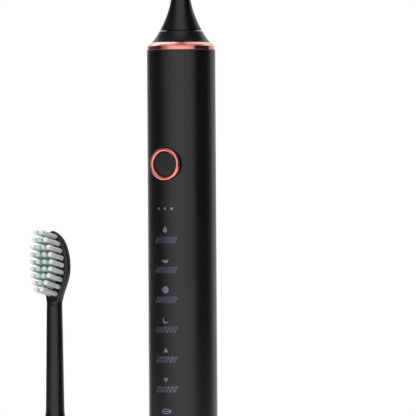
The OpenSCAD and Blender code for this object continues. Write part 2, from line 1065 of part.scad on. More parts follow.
module paddle() {
    steps = 15;
    rise = head_h - neck_h;
    edge = [for (i = [0:steps]) let (h = neck_h + rise * i / steps) [paddle_half(h), h]];
    mirrored = [for (i = [steps - 1:-1:0]) [-edge[i][0], edge[i][1]]];
    color("#1e1e20")
        difference() {
            intersection() {
                forward(-4, 4)
                    polygon(concat(edge, mirrored));
                translate([-10, 0, 0])
                    rotate([90, 0, 90])
                        linear_extrude(20)
                            polygon([
                                [-flare(neck_h), neck_h], [flare(neck_h), neck_h],
                                [paddle_back + 0.1, neck_h + 5], [paddle_back, neck_h + 12],
                                [paddle_back, head_h - 9], [paddle_back - 0.3, head_h - 5.4],
                                [paddle_back - 0.7, head_h - 3.4], [paddle_back - 1.3, head_h - 1.7],
                                [paddle_back - 2.2, head_h - 0.7], [0.3 - paddle_front, head_h],
                                [-paddle_front, head_h - 0.5], [-paddle_front, neck_h + 3.7],
                                [-paddle_front - 0.3, neck_h + 2.4], [0.3 - flare(neck_h), neck_h + 1]
                            ]);
                rotate_extrude()
                    polygon([
                        [0, neck_h], [flare(neck_h), neck_h], [flare(neck_h) + 0.05, widen_z],
                        [4.4, neck_h + 5], [6.1, neck_h + 9], [8, neck_h + 12], [8, head_h], [0, head_h]
                    ]);
            }
            for (inner = [false, true])
                each_tuft(inner)
                    rod(tuft_r + 0.02, -tuft_depth, 2);
        }
}

// ---------- the assembly ----------

charger_cover();
charger_plate();
plate_seal();
foot_pad();
plate_screws();
head_posts();
transmit_bobbin();
transmit_coil();
ferrite_rod();
coil_leads();
charger_board();
charger_chips();
charger_board_screws();
usb_socket();
usb_tongue();
at_handle() handle_housing();
at_handle() bottom_cap();
at_handle() cap_seal();
at_handle() receive_coil();
at_handle() coil_shield();
at_handle() wire_leads();
at_handle() chassis();
at_handle() battery_cell();
at_handle() battery_tabs();
at_handle() main_board();
at_handle() board_chips();
at_handle() mode_leds();
at_handle() light_guide();
at_handle() main_board_screws();
at_handle() switch_body();
at_handle() button_seal();
at_handle() button_ring();
at_handle() trim_ring();
at_handle() shoulder_collar();
at_handle() collar_seal();
at_handle() shaft_seal();
at_handle() motor_can();
at_handle() motor_front_cap();
at_handle() motor_rear_cap();
at_handle() motor_bearings();
at_handle() stator_core();
at_handle() motor_coils();
at_handle() motor_dampers();
at_handle() power_button();
at_handle() switch_plunger();
at_handle() drive_shaft();
at_handle() rotor_core();
at_handle() rotor_magnets();
at_head() stem();  // head_stem
at_head() paddle();  // head_paddle
at_head() color("#f2f2f0") tufts(false);  // head_outer_tufts
at_head() color("#b9dccd") tufts(true);  // head_inner_tufts
at_head() anchors();  // head_anchors
at_head() clip();  // head_clip
at_spare() stem();  // spare_stem
at_spare() paddle();  // spare_paddle
at_spare() color("#f2f2f0") tufts(false);  // spare_outer_tufts
at_spare() color("#b9dccd") tufts(true);  // spare_inner_tufts
at_spare() anchors();  // spare_anchors
at_spare() clip();  // spare_clip
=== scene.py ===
import json
import math
import random

import bmesh
import bpy
from mathutils import Matrix, Vector


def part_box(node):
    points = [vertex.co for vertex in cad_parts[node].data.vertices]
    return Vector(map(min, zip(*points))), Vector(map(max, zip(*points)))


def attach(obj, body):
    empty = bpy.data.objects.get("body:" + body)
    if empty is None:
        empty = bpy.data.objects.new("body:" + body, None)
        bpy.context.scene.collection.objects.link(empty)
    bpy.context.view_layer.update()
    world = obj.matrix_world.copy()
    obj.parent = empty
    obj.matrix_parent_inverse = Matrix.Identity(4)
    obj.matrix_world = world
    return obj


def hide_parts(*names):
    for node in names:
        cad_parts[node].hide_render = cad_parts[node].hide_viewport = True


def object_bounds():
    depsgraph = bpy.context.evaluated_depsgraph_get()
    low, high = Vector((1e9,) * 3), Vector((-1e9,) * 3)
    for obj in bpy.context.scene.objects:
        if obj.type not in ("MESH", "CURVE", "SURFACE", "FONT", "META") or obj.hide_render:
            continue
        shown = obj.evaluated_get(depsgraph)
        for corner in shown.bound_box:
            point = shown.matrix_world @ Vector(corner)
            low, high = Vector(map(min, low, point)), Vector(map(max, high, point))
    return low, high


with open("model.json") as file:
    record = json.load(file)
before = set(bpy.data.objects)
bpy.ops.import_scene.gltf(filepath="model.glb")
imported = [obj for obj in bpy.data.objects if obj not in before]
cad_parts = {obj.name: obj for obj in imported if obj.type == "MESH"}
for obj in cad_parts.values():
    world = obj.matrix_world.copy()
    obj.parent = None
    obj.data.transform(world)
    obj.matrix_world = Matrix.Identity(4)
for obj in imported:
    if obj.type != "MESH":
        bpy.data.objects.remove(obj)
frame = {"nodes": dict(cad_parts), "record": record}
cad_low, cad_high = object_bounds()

MM = 0.001
NODES = frame["nodes"]


def middle(node):
    low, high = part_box(node)
    return (low + high) / 2


# ---------------------------------------------------------------- places, all from the frame

AXIS = middle("drive_shaft")  # the handle's axis
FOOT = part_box("bottom_cap")[0].z  # the handle's foot
RING_LOW, RING_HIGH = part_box("trim_ring")
HEAD_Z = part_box("head_stem")[0].z
SPARE = middle("spare_stem")
SPARE_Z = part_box("spare_stem")[0].z
BUTTON = middle("power_button")
HANDLE_R = (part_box("handle_housing")[1].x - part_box("handle_housing")[0].x) / 2 / MM

CAMERA_AZIMUTH = math.radians(30)
TO_CAMERA = Vector((math.sin(CAMERA_AZIMUTH), -math.cos(CAMERA_AZIMUTH), 0))
RIGHT = Vector((math.cos(CAMERA_AZIMUTH), math.sin(CAMERA_AZIMUTH), 0))

# ---------------------------------------------------------------- camera

FRAME_WIDTH = 164.2 * MM  # what the picture is wide, at the handle's axis
DISTANCE = 3.5
SENSOR = 36
AIM_HEIGHT, AIM_ACROSS = 97.9 * MM, 10.24 * MM  # the picture's middle, from the handle's foot
ROLL = math.radians(-0.36)
camera = bpy.data.objects.new("Camera", bpy.data.cameras.new("Camera"))
bpy.context.scene.collection.objects.link(camera)
camera.data.sensor_width = SENSOR
camera.data.lens = SENSOR * DISTANCE / FRAME_WIDTH
camera.data.clip_start, camera.data.clip_end = 0.05, 60
target = Vector((AXIS.x, AXIS.y, FOOT + AIM_HEIGHT)) + RIGHT * AIM_ACROSS
look = (-TO_CAMERA).to_track_quat("-Z", "Y")
camera.rotation_mode = "QUATERNION"
camera.rotation_quaternion = look @ Matrix.Rotation(ROLL, 3, "Z").to_quaternion()
camera.location = target + TO_CAMERA * DISTANCE
bpy.context.scene.camera = camera
bpy.context.scene.view_settings.view_transform = "Standard"

# ---------------------------------------------------------------- material nodes


class Paint:
    """A material and short ways to add nodes to it."""

    def __init__(self, name):
        self.material = bpy.data.materials.new(name)
        self.material.use_nodes = True
        self.tree = self.material.node_tree
        self.surface = self.tree.nodes["Principled BSDF"]

    def add(self, kind, **values):
        node = self.tree.nodes.new(kind)
        for key, value in values.items():
            setattr(node, key, value)
        return node

    def join(self, source, sink):
        self.tree.links.new(source, sink)

    def set(self, **values):
        names = {
            "colour": "Base Color",
            "rough": "Roughness",
            "metal": "Metallic",
            "specular": "Specular IOR Level",
            "coat": "Coat Weight",
            "coat_rough": "Coat Roughness",
            "coat_ior": "Coat IOR",
            "through": "Transmission Weight",
            "sheen": "Sheen Weight",
            "sheen_rough": "Sheen Roughness",
            "under": "Subsurface Weight",
            "under_scale": "Subsurface Scale",
            "ior": "IOR",
        }
        for key, value in values.items():
            self.surface.inputs[names[key]].default_value = (
                (*value, 1) if isinstance(value, tuple) else value
            )
        return self

    def place(self, stretch=(1, 1, 1)):
        """Object coordinates, in metres in the part's own frame."""
        coordinates = self.add("ShaderNodeTexCoord")
        if stretch == (1, 1, 1):
            return coordinates.outputs["Object"]
        mapping = self.add("ShaderNodeMapping")
        mapping.inputs["Scale"].default_value = stretch
        self.join(coordinates.outputs["Object"], mapping.inputs["Vector"])
        return mapping.outputs["Vector"]

    def noise(self, size_mm, detail=3, rough=0.55, stretch=(1, 1, 1)):
        node = self.add("ShaderNodeTexNoise")
        node.inputs["Scale"].default_value = 1000 / size_mm
        node.inputs["Detail"].default_value = detail
        node.inputs["Roughness"].default_value = rough
        self.join(self.place(stretch), node.inputs["Vector"])
        return node.outputs["Fac"]

    def span(self, source, low, high, start=0.3, end=0.7):
        node = self.add("ShaderNodeMapRange")
        node.inputs["From Min"].default_value = start
        node.inputs["From Max"].default_value = end
        node.inputs["To Min"].default_value = low
        node.inputs["To Max"].default_value = high
        self.join(source, node.inputs["Value"])
        return node.outputs["Result"]

    def ramp(self, source, stops, smooth=False):
        node = self.add("ShaderNodeValToRGB")
        node.color_ramp.interpolation = "EASE" if smooth else "LINEAR"
        elements = node.color_ramp.elements
        while len(elements) < len(stops):
            elements.new(0.5)
        for element, (at, colour) in zip(elements, stops):
            element.position = at
            element.color = (*colour, 1)
        self.join(source, node.inputs["Fac"])
        return node.outputs["Color"]

    def mix(self, factor, a, b, kind="MIX"):
        node = self.add("ShaderNodeMix", data_type="RGBA", blend_type=kind)
        for socket, value in zip((node.inputs[0], node.inputs[6], node.inputs[7]), (factor, a, b)):
            if isinstance(value, bpy.types.NodeSocket):
                self.join(value, socket)
            elif isinstance(value, tuple):
                socket.default_value = (*value, 1)
            else:
                socket.default_value = value
        return node.outputs[2]

    def maths(self, kind, a, b=0.0):
        node = self.add("ShaderNodeMath", operation=kind)
        for socket, value in zip(node.inputs, (a, b)):
            if isinstance(value, bpy.types.NodeSocket):
                self.join(value, socket)
            else:
                socket.default_value = value
        return node.outputs[0]

    def bump(self, height, depth_mm, strength=1.0, under=None):
        node = self.add("ShaderNodeBump")
        node.inputs["Strength"].default_value = strength
        node.inputs["Distance"].default_value = depth_mm * MM
        self.join(height, node.inputs["Height"])
        if under is not None:
            self.join(under, node.inputs["Normal"])
        return node.outputs["Normal"]

    def mottle(self, colour, amount, size_mm, detail):
        """The colour, a little darker and lighter in patches of about the size."""
        stops = [(0.3, shade(colour, 1 - amount)), (0.7, shade(colour, 1 + amount))]
        return self.ramp(self.noise(size_mm, detail), stops)

    def wear(self, source, sink):
        self.join(source, self.surface.inputs[sink])
        return self

    def dress(self, tone, gloss, normal=None):
        self.wear(tone, "Base Color").wear(gloss, "Roughness")
        if normal is not None:
            self.wear(normal, "Normal")
        return self.material


def shade(colour, amount):
    return tuple(min(1.0, c * amount) for c in colour)


def bands(p, pitch_mm):
    """Level stripes, pitch_mm apart. A band texture has 20 / (2 pi) stripes per unit of its scale."""
    wave = p.add("ShaderNodeTexWave", wave_type="BANDS", bands_direction="Z")
    wave.inputs["Scale"].default_value = 2 * math.pi / (20 * pitch_mm * MM)
    p.join(p.place(), wave.inputs["Vector"])
    return wave


def plastic(name, colour, rough, grain_mm=0.22, depth_mm=0.004, mottle=0.1, spread=0.04, **more):
    """Moulded plastic: a fine spark-eroded grain, faint mottling, and uneven gloss."""
    p = Paint(name).set(**more)
    tone = p.mottle(colour, mottle, 9, 4)
    gloss = p.span(p.noise(14, 5), rough - spread, rough + spread)
    grain = p.bump(p.noise(grain_mm, 2), depth_mm)
    return p.dress(tone, gloss, p.bump(p.noise(30, 1), 0.02, 0.4, grain))


def metal(
    name, colour, rough, brush=(1, 1, 1), line_mm=0.3, depth_mm=0.0008, mottle=0.06, spread=0.03, **more
):
    """Bare or plated metal with fine drawn or turned lines."""
    p = Paint(name).set(**{"metal": 1.0, **more})
    tone = p.mottle(colour, mottle, 6, 3)
    lines = p.noise(line_mm, 3, stretch=brush)
    gloss = p.span(lines, max(0.02, rough - spread), rough + spread)
    return p.dress(tone, gloss, p.bump(lines, depth_mm))


def winding(name, colour, pitch_mm):
    """Enamelled wire laid turn on turn."""
    p = Paint(name).set(metal=0.85, coat=0.5, coat_rough=0.15)
    turns = bands(p, pitch_mm)
    turns.inputs["Distortion"].default_value = 0.35
    turns.inputs["Detail"].default_value = 1
    # Painted shade and highlight: the copper colour is darkened to a quarter in the grooves between turns and
    # lightened on each turn's crown.
    stops = [(0.0, shade(colour, 0.25)), (0.45, shade(colour, 0.9)), (1.0, shade(colour, 1.15))]
    tone = p.ramp(turns.outputs["Fac"], stops)
    gloss = p.span(p.noise(2, 3), 0.22, 0.4)
    return p.dress(tone, gloss, p.bump(turns.outputs["Fac"], 0.08))


def cells(p, per_metre, **values):
    made = p.add("ShaderNodeTexVoronoi", **values)
    made.inputs["Scale"].default_value = per_metre
    p.join(p.place(), made.inputs["Vector"])
    return made.outputs["Distance"]


def circuit(name):
    """Solder mask over copper traces, with tinned pads."""
    p = Paint(name).set(coat=0.4, coat_rough=0.2)
    edges = cells(p, 520, feature="DISTANCE_TO_EDGE", distance="MANHATTAN")
    trace = p.ramp(edges, [(0.03, (1, 1, 1)), (0.06, (0, 0, 0))])
    green = p.mix(trace, (0.008, 0.09, 0.035), (0.02, 0.19, 0.075))
    pad = p.ramp(cells(p, 380, feature="F1"), [(0.1, (1, 1, 1)), (0.14, (0, 0, 0))])
    tone = p.mix(pad, green, (0.7, 0.69, 0.66))
    gloss = p.span(p.noise(1.5, 4), 0.25, 0.4)
    p.wear(pad, "Metallic")
    return p.dress(tone, gloss, p.bump(p.maths("ADD", trace, pad), 0.03))


def laminated(name, colour, sheet_mm):
    """A stack of punched steel sheets."""
    p = Paint(name).set(metal=1.0)
    sheets = bands(p, sheet_mm)
    stops = [(0.0, shade(colour, 0.35)), (0.3, colour), (1.0, shade(colour, 1.2))]
    tone = p.ramp(sheets.outputs["Fac"], stops)
    gloss = p.span(p.noise(1.2, 4), 0.35, 0.55)
    return p.dress(tone, gloss, p.bump(sheets.outputs["Fac"], 0.03))


def nylon(name, colour):
    """Filaments, each a little lighter or darker than the next."""
    p = Paint(name).set(under=0.12, under_scale=0.6 * MM, specular=0.4)
    p.surface.inputs["Subsurface Radius"].default_value = (1, 1, 1)
    tint = p.add("ShaderNodeAttribute", attribute_name="tint")
    tone = p.ramp(tint.outputs["Fac"], [(0.0, shade(colour, 0.93)), (1.0, shade(colour, 1.05))])
    return p.dress(tone, p.span(p.noise(0.8, 2), 0.32, 0.46))


def trim_metal(name, colour, edge_z):
    """Plated ring: a polished band, and a satin bevel above the height edge_z."""
    p = Paint(name).set(metal=1.0, coat=1.0, coat_rough=0.05, coat_ior=1.8)
    tone = p.mottle(colour, 0.03, 6, 3)
    lines = p.noise(0.9, 3, stretch=(1, 1, 14))
    split = p.add("ShaderNodeSeparateXYZ")
    p.join(p.place(), split.inputs[0])
    satin = p.span(split.outputs["Z"], 0.07, 0.42, edge_z - 0.05 * MM, edge_z + 0.25 * MM)
    gloss = p.maths("ADD", satin, p.span(lines, -0.02, 0.02))
    return p.dress(tone, gloss, p.bump(lines, 0.0002))


# ---------------------------------------------------------------- the palette

BAND_H = 1.4  # the polished band of the trim ring, in mm
ROSE = trim_metal("rose_gold", (0.9, 0.27, 0.24), RING_LOW.z + BAND_H * MM)

SHELL = plastic("matt_shell", (0.0022, 0.0022, 0.0024), 0.29, spread=0.02, specular=0.5)
SHOULDER = plastic("matt_shoulder", (0.002, 0.0023, 0.0024), 0.28, spread=0.02)
HEAD = plastic("satin_head", (0.0022, 0.0022, 0.0024), 0.28, grain_mm=0.18, spread=0.02)
BUTTON_CAP = plastic("matt_button", (0.005, 0.005, 0.0052), 0.5, grain_mm=0.15, depth_mm=0.003)
STAND = plastic("matt_stand", (0.014, 0.014, 0.0145), 0.46, grain_mm=0.3, depth_mm=0.006)
PLATE = plastic("spark_plate", (0.03, 0.03, 0.031), 0.6, grain_mm=0.35, depth_mm=0.012)
RUBBER = plastic("dark_rubber", (0.045, 0.045, 0.048), 0.75, grain_mm=0.4, depth_mm=0.01, mottle=0.2)
SEAL = plastic("silicone_seal", (0.28, 0.045, 0.03), 0.35, grain_mm=0.5, depth_mm=0.003, coat=0.3)
FRAME = plastic("white_frame", (0.62, 0.62, 0.6), 0.45, grain_mm=0.3, mottle=0.03)
CREAM = plastic("cream_bobbin", (0.55, 0.47, 0.32), 0.5, mottle=0.05)
CHIP = plastic("chip_package", (0.018, 0.018, 0.02), 0.55, grain_mm=0.12, depth_mm=0.006)
LED = plastic("led_resin", (0.75, 0.62, 0.2), 0.2, grain_mm=0.3, depth_mm=0.002, coat=0.6)
CELL = plastic("cell_wrap", (0.02, 0.16, 0.085), 0.28, grain_mm=1.2, depth_mm=0.01, coat=0.3)
LEAD = plastic("lead_sleeve", (0.42, 0.02, 0.015), 0.4, grain_mm=0.4, depth_mm=0.003)
FERRITE = plastic(
    "sintered_ferrite", (0.035, 0.035, 0.04), 0.5, grain_mm=0.25, depth_mm=0.012, mottle=0.25, specular=0.8
)
ROSE_BUTTON = metal(
    "rose_gold_button", (0.88, 0.16, 0.11), 0.06, line_mm=0.5, depth_mm=0.0002, mottle=0.03, spread=0.02,
    coat=1.0, coat_rough=0.02, coat_ior=2.1,
)
STEEL = metal("zinc_steel", (0.62, 0.63, 0.64), 0.32, brush=(1, 1, 6))
SHAFT = metal("ground_steel", (0.7, 0.71, 0.72), 0.16, brush=(1, 1, 30), line_mm=0.6)
NICKEL = metal("nickel_plate", (0.66, 0.64, 0.6), 0.2, brush=(1, 6, 1))
BRONZE = metal("sintered_bronze", (0.55, 0.36, 0.16), 0.42, line_mm=0.15, depth_mm=0.004, mottle=0.18)
COPPER = winding("copper_winding", (0.72, 0.3, 0.12), 0.26)
CORE = laminated("laminated_core", (0.3, 0.31, 0.33), 0.35)
BOARD = circuit("circuit_board")
WHITE_NYLON = nylon("white_nylon", (0.79, 0.79, 0.785))
MINT_NYLON = nylon("mint_nylon", (0.56, 0.7, 0.635))
WINDOW = metal("window_ink", (0.2, 0.23, 0.32), 0.24, metal=0.78, line_mm=0.4, depth_mm=0.0005, mottle=0.08)
LEGEND = metal("legend_ink", (0.16, 0.16, 0.21), 0.28, metal=0.7, line_mm=0.4, depth_mm=0.0005, mottle=0.1)
MASK = plastic("mask_ink", (0.004, 0.004, 0.0045), 0.3, grain_mm=0.3, depth_mm=0.001)

BY_SLOT = {
    "shell_black": SHELL, "button_black": BUTTON_CAP, "rose_gold": ROSE, "window_grey": WINDOW,
    "head_black": HEAD, "bristle_white": WHITE_NYLON, "bristle_mint": MINT_NYLON, "stand_black": STAND,
    "plate_black": PLATE, "rubber_grey": RUBBER, "seal_red": SEAL, "steel": STEEL, "shaft_steel": SHAFT,
    "nickel": NICKEL, "bronze": BRONZE, "copper": COPPER, "core_grey": CORE, "ferrite": FERRITE,
    "board_green": BOARD, "chip_black": CHIP, "led_yellow": LED, "chassis_white": FRAME,
    "bobbin_cream": CREAM, "cell_wrap": CELL, "lead_red": LEAD,
}
for part in frame["record"]["subparts"]:
    for place in NODES[part["node"]].material_slots:
        place.material = BY_SLOT[part["material_slot"]]

# ---------------------------------------------------------------- smooth shading of rounded CAD edges

STEP_ANGLE = math.radians(24)
WELD_REACH = 0.001 * MM


def smooth_by_angle():
    """Modifier nodes that drop the stored normals and shade smooth over every edge flatter than the angle."""
    group = bpy.data.node_groups.new("smooth_by_angle", "GeometryNodeTree")
    for way in ("INPUT", "OUTPUT"):
        group.interface.new_socket("Geometry", in_out=way, socket_type="NodeSocketGeometry")
    nodes, links = group.nodes, group.links
    start, end = nodes.new("NodeGroupInput"), nodes.new("NodeGroupOutput")
    plain = nodes.new("GeometryNodeRemoveAttribute")
    plain.inputs["Name"].default_value = "custom_normal"
    faces = nodes.new("GeometryNodeSetShadeSmooth")
    faces.inputs["Shade Smooth"].default_value = True
    edges = nodes.new("GeometryNodeSetShadeSmooth")
    edges.domain = "EDGE"
    turn = nodes.new("GeometryNodeInputMeshEdgeAngle")
    flat = nodes.new("FunctionNodeCompare")
    flat.operation = "LESS_THAN"
    flat.inputs["B"].default_value = STEP_ANGLE
    links.new(turn.outputs["Unsigned Angle"], flat.inputs["A"])
    links.new(flat.outputs[0], edges.inputs["Shade Smooth"])
    for a, b in ((start, plain), (plain, faces), (faces, edges), (edges, end)):
        links.new(a.outputs[0], b.inputs[0])
    return group


smooth = smooth_by_angle()
for name in ("charger_cover", "charger_plate", "head_posts", "foot_pad"):
    NODES[name].modifiers.new("weld", "WELD").merge_threshold = WELD_REACH
    NODES[name].modifiers.new("smooth", "NODES").node_group = smooth

# ---------------------------------------------------------------- mesh helpers


def piece(name, verts, faces, paint, body, slot, *nodes, crease=35):
    """A closed mesh in metres, smooth except where its faces meet at more than the crease angle."""
    mesh = bpy.data.meshes.new(name)
    mesh.from_pydata([tuple(v) for v in verts], [], faces)
    mesh.validate()
    bm = bmesh.new()
    bm.from_mesh(mesh)
    bmesh.ops.recalc_face_normals(bm, faces=bm.faces)
    bm.to_mesh(mesh)
    bm.free()
    mesh.shade_smooth()
    mesh.set_sharp_from_angle(angle=math.radians(crease))
    mesh.materials.append(paint)
    made = bpy.data.objects.new(name, mesh)
    bpy.context.scene.collection.objects.link(made)
    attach(made, body)
    if nodes:
        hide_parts(*nodes)
    return made


def turned(profile, segments=128):
    """Vertices and faces of a closed profile of (radius, height) turned about Z. Radius 0 is a pole."""
    verts, rings = [], []
    for r, z in profile:
        if r < 1e-7:
            rings.append([len(verts)])
            verts.append((0, 0, z))
        else:
            rings.append(list(range(len(verts), len(verts) + segments)))
            for i in range(segments):
                a = 2 * math.pi * i / segments
                verts.append((r * math.cos(a), r * math.sin(a), z))
    faces = []
    for a, b in zip(rings, rings[1:] + rings[:1]):
        if len(a) == 1 and len(b) == 1:
            continue
        for i in range(segments):
            j = (i + 1) % segments
            if len(a) == 1:
                faces.append((a[0], b[i], b[j]))
            elif len(b) == 1:
                faces.append((a[i], b[0], a[j]))
            else:
                faces.append((a[i], b[i], b[j], a[j]))
    return verts, faces


def moved(verts, turn, origin):
    return [origin + turn @ (Vector(v) * MM) for v in verts]


UPRIGHT = Matrix.Identity(3)
FORWARD = Matrix.Rotation(math.radians(90), 3, "X")  # the profile's height runs towards -Y


def fillet(points, radii, steps=5):
    """Rounds the corners of an open profile. Each point has its own radius, and 0 keeps it sharp."""
    out = []
    for i, (p, r) in enumerate(zip(points, radii)):
        if r == 0 or i in (0, len(points) - 1):
            out.append(p)
            continue
        p, a, b = Vector(p), Vector(points[i - 1]), Vector(points[i + 1])
        u, v = (a - p).normalized(), (b - p).normalized()
        half = math.acos(max(-1, min(1, u.dot(v)))) / 2
        cut = min(r / math.tan(half), (a - p).length * 0.49, (b - p).length * 0.49)
        for k in range(steps + 1):
            t = k / steps
            q = (p + u * cut) * (1 - t) ** 2 + p * 2 * t * (1 - t) + (p + v * cut) * t**2
            out.append((q.x, q.y))
    return out


# ---------------------------------------------------------------- brush heads

# Heights from the stem's foot, and radii or half widths, in mm.
TOP_H, NECK_H, WIDEST_H, PADDLE_W = 85.2, 55.5, 71.0, 6.95
FACE, BACK = 1.5, 2.8  # from the stem's axis to the paddle's face and to its back
SEAM = 0.15  # chamfer of the stem at the paddle
SKIRT_WALL, SKIRT_H = 1.2, 9.0  # the hollow foot
BORE_R, BORE_TOP = 2.8, 15.5
TIP_BORE_R, TIP_BORE_TOP = 1.95, 15.85


def flare(h):
    return 3.9 - 0.0135 * h + 4.4 * max(0.0, 1 - h / 14.2) ** 1.7


def half_width(h):
    if h > WIDEST_H:
        return PADDLE_W * max(0.0, 1 - ((h - WIDEST_H) / (TOP_H - WIDEST_H)) ** 2) ** 0.62
    t = min(1.0, (WIDEST_H - h) / (WIDEST_H - NECK_H - 0.5))
    neck = flare(NECK_H)
    return neck + (PADDLE_W - neck) * (1 + math.cos(math.pi * t**1.15)) / 2


def ease(x, low, high):
    t = min(1.0, max(0.0, (x - low) / (high - low)))
    return t * t * (3 - 2 * t)


def stem_shape():
    outer = [(0.0, NECK_H), (flare(NECK_H) - SEAM, NECK_H), (flare(NECK_H), NECK_H - SEAM)]
    heights = [NECK_H - 1 - 1.5 * i for i in range(26)]
    heights = [h for h in heights if h > 15.2] + [15 * (1 - i / 44) for i in range(44)]
    outer += [(flare(h), h) for h in heights if h > 0.25]
    lip = [(flare(0) - 0.06, 0.12), (flare(0) - 0.24, 0.0), (flare(0) - 0.96, 0.0), (flare(0) - 1.14, 0.12)]
    inner = [(flare(h) - SKIRT_WALL, h) for h in [0.3 + 8.7 * i / 16 for i in range(17)]]
    bore = [(BORE_R, SKIRT_H), (BORE_R, BORE_TOP)]
    bore += [(TIP_BORE_R, BORE_TOP), (TIP_BORE_R, TIP_BORE_TOP), (0.0, TIP_BORE_TOP)]
    return turned(outer + lip + inner + bore, 96)


def along(h, stops):
    """A smooth curve through (height, value) stops."""
    for (h0, v0), (h1, v1) in zip(stops, stops[1:]):
        if h <= h1:
            return v0 + (v1 - v0) * ease(h, h0, h1)
    return stops[-1][1]


def paddle_shape(segments=96):
    """A lofted blade: round at the neck, then a flat face in a scoop, rounded edges and a domed back."""
    heights = [NECK_H, NECK_H + 0.12] + [NECK_H + 6 * i / 24 for i in range(1, 24)]
    heights += [NECK_H + 6 + (TOP_H - 5 - NECK_H - 6) * i / 36 for i in range(36)]
    heights += [TOP_H - 5 + 5 * math.sin(math.pi / 2 * i / 32) for i in range(32)]
    verts, rings = [], []
    neck = flare(NECK_H)
    for h in heights:
        chamfer = 0.12 if h == NECK_H else 0.0
        w = half_width(h) - chamfer
        close = max(0.0, 1 - (max(0.0, h - (TOP_H - 6.5)) / 6.5) ** 2.6)
        tip = max(0.0, 1 - (max(0.0, h - (TOP_H - 1.2)) / 1.2) ** 2) ** 0.5
        face = along(h, [(NECK_H, neck), (NECK_H + 3.7, FACE)]) * (0.62 + 0.38 * tip)
        back = along(h, [(NECK_H, neck), (NECK_H + 8, BACK)])
        back = -0.75 + (back + 0.75) * close ** 0.62
        flat = 2 + 3.2 * ease(h, NECK_H + 0.6, NECK_H + 4) * (0.4 + 0.6 * tip)
        dome = 2 + 0.55 * ease(h, NECK_H + 1, NECK_H + 9) * close
        seat = (back - face) / 2
        deep = (back + face) / 2 - chamfer
        rings.append(list(range(len(verts), len(verts) + segments)))
        for i in range(segments):
            a = 2 * math.pi * (i + 0.5) / segments
            power = 2 / (dome if math.sin(a) > 0 else flat)
            x = w * math.copysign(abs(math.cos(a)) ** power, math.cos(a))
            y = seat + deep * math.copysign(abs(math.sin(a)) ** power, math.sin(a))
            verts.append((x, y, h))
    faces = [tuple(reversed(rings[0]))]
    for a, b in zip(rings, rings[1:]):
        for i in range(segments):
            j = (i + 1) % segments
            faces.append((a[i], a[j], b[j], b[i]))
    end = len(verts)
    verts.append((0, -0.84, TOP_H))
    faces += [(rings[-1][i], rings[-1][(i + 1) % segments], end) for i in range(segments)]
    return verts, faces


TUFT_R, SLANT, ROWS, ROW_PITCH, ROW_MID = 1.05, math.radians(10.5), 9, 2.84, 71.45
TUFT_LOW, TUFT_CUP = 9.1, 2.1  # length in the middle row, and how much longer the end rows are
FILAMENT_R, FILAMENT_PITCH, FILAMENT_SIDES = 0.116, 0.236, 6
SEED = 11


def tuft_places():
    """(foot, length, inner) of each tuft: two in an end row, then three, then four."""
    for row in range(ROWS):
        u = 2 * row / (ROWS - 1) - 1
        count = 2 if abs(u) > 0.9 else 3 if abs(u) > 0.7 else 4
        half = 1.4 + 3.1 * (1 - u * u)
        for i in range(count):
            x = half * (2 * i / (count - 1) - 1)
            z = ROW_MID + ROW_PITCH * (ROWS - 1) / 2 * u
            yield Vector((x, -FACE, z)), TUFT_LOW + TUFT_CUP * u * u, 0 < i < count - 1


def filament_shape(inner, seed):
    """Bundles of nylon filaments: six-sided, closely packed, a little splayed, with rounded tips."""
    rng = random.Random(seed)
    radius, pitch, sides = FILAMENT_R, FILAMENT_PITCH, FILAMENT_SIDES
    lean = Vector((0, -math.cos(SLANT), math.sin(SLANT)))
    across, up = Vector((1, 0, 0)), Vector((0, math.sin(SLANT), math.cos(SLANT)))
    verts, faces, tints = [], [], []
    for foot, length, is_inner in tuft_places():
        if is_inner != inner:
            continue
        reach = int(TUFT_R / pitch) + 1
        for i in range(-reach * 2, reach * 2 + 1):
            for j in range(-reach * 2, reach * 2 + 1):
                gx, gy = pitch * (i + j / 2), pitch * j * math.sqrt(3) / 2
                if math.hypot(gx, gy) > TUFT_R - radius:
                    continue
                spot = Vector((gx + rng.uniform(-0.012, 0.012), gy + rng.uniform(-0.012, 0.012)))
                splay = 1 + rng.uniform(0.0, 0.02)
                tall = length + rng.uniform(-0.1, 0.02)
                drift = Vector((rng.uniform(-0.035, 0.035), rng.uniform(-0.035, 0.035)))
                tint, twist = rng.random(), rng.uniform(0, math.pi)
                stations = [(-0.5, 1, 0), (tall * 0.5, 1, 0.3), (tall - 0.1, 1, 1), (tall - 0.03, 0.72, 1)]
                start = len(verts)
                for s, wide, bent in stations:
                    centre = foot + lean * s
                    at = spot * (0.97 + (splay - 0.97) * max(s, 0) / tall) + drift * bent
                    for k in range(sides):
                        a = twist + 2 * math.pi * k / sides
                        off = at + Vector((math.cos(a), math.sin(a))) * radius * wide
                        verts.append(centre + across * off.x + up * off.y)
                        tints.append(tint)
                at = spot * splay + drift
                verts.append(foot + lean * tall + across * at.x + up * at.y)
                tints.append(tint)
                for r in range(len(stations) - 1):
                    for k in range(sides):
                        a, b = start + r * sides + k, start + r * sides + (k + 1) % sides
                        faces.append((a, b, b + sides, a + sides))
                last = start + (len(stations) - 1) * sides
                for k in range(sides):
                    faces.append((last + k, last + (k + 1) % sides, len(verts) - 1))
                faces.append(tuple(start + k for k in reversed(range(sides))))
    return verts, faces, tints


def brush(prefix, body, origin):
    for part, shape in (("stem", stem_shape), ("paddle", paddle_shape)):
        verts, faces = shape()
        verts = moved(verts, UPRIGHT, origin)
        piece(prefix + part + "_skin", verts, faces, HEAD, body, "head_black", prefix + part)
    for inner, part, paint, slot in (
        (False, "outer_tufts", WHITE_NYLON, "bristle_white"),
        (True, "inner_tufts", MINT_NYLON, "bristle_mint"),
    ):
        verts, faces, tints = filament_shape(inner, SEED + inner)
        verts = moved(verts, UPRIGHT, origin)
        made = piece(
            prefix + part + "_filaments", verts, faces, paint, body, slot, prefix + part, crease=60
        )
        made.data.attributes.new("tint", "FLOAT", "POINT").data.foreach_set("value", tints)


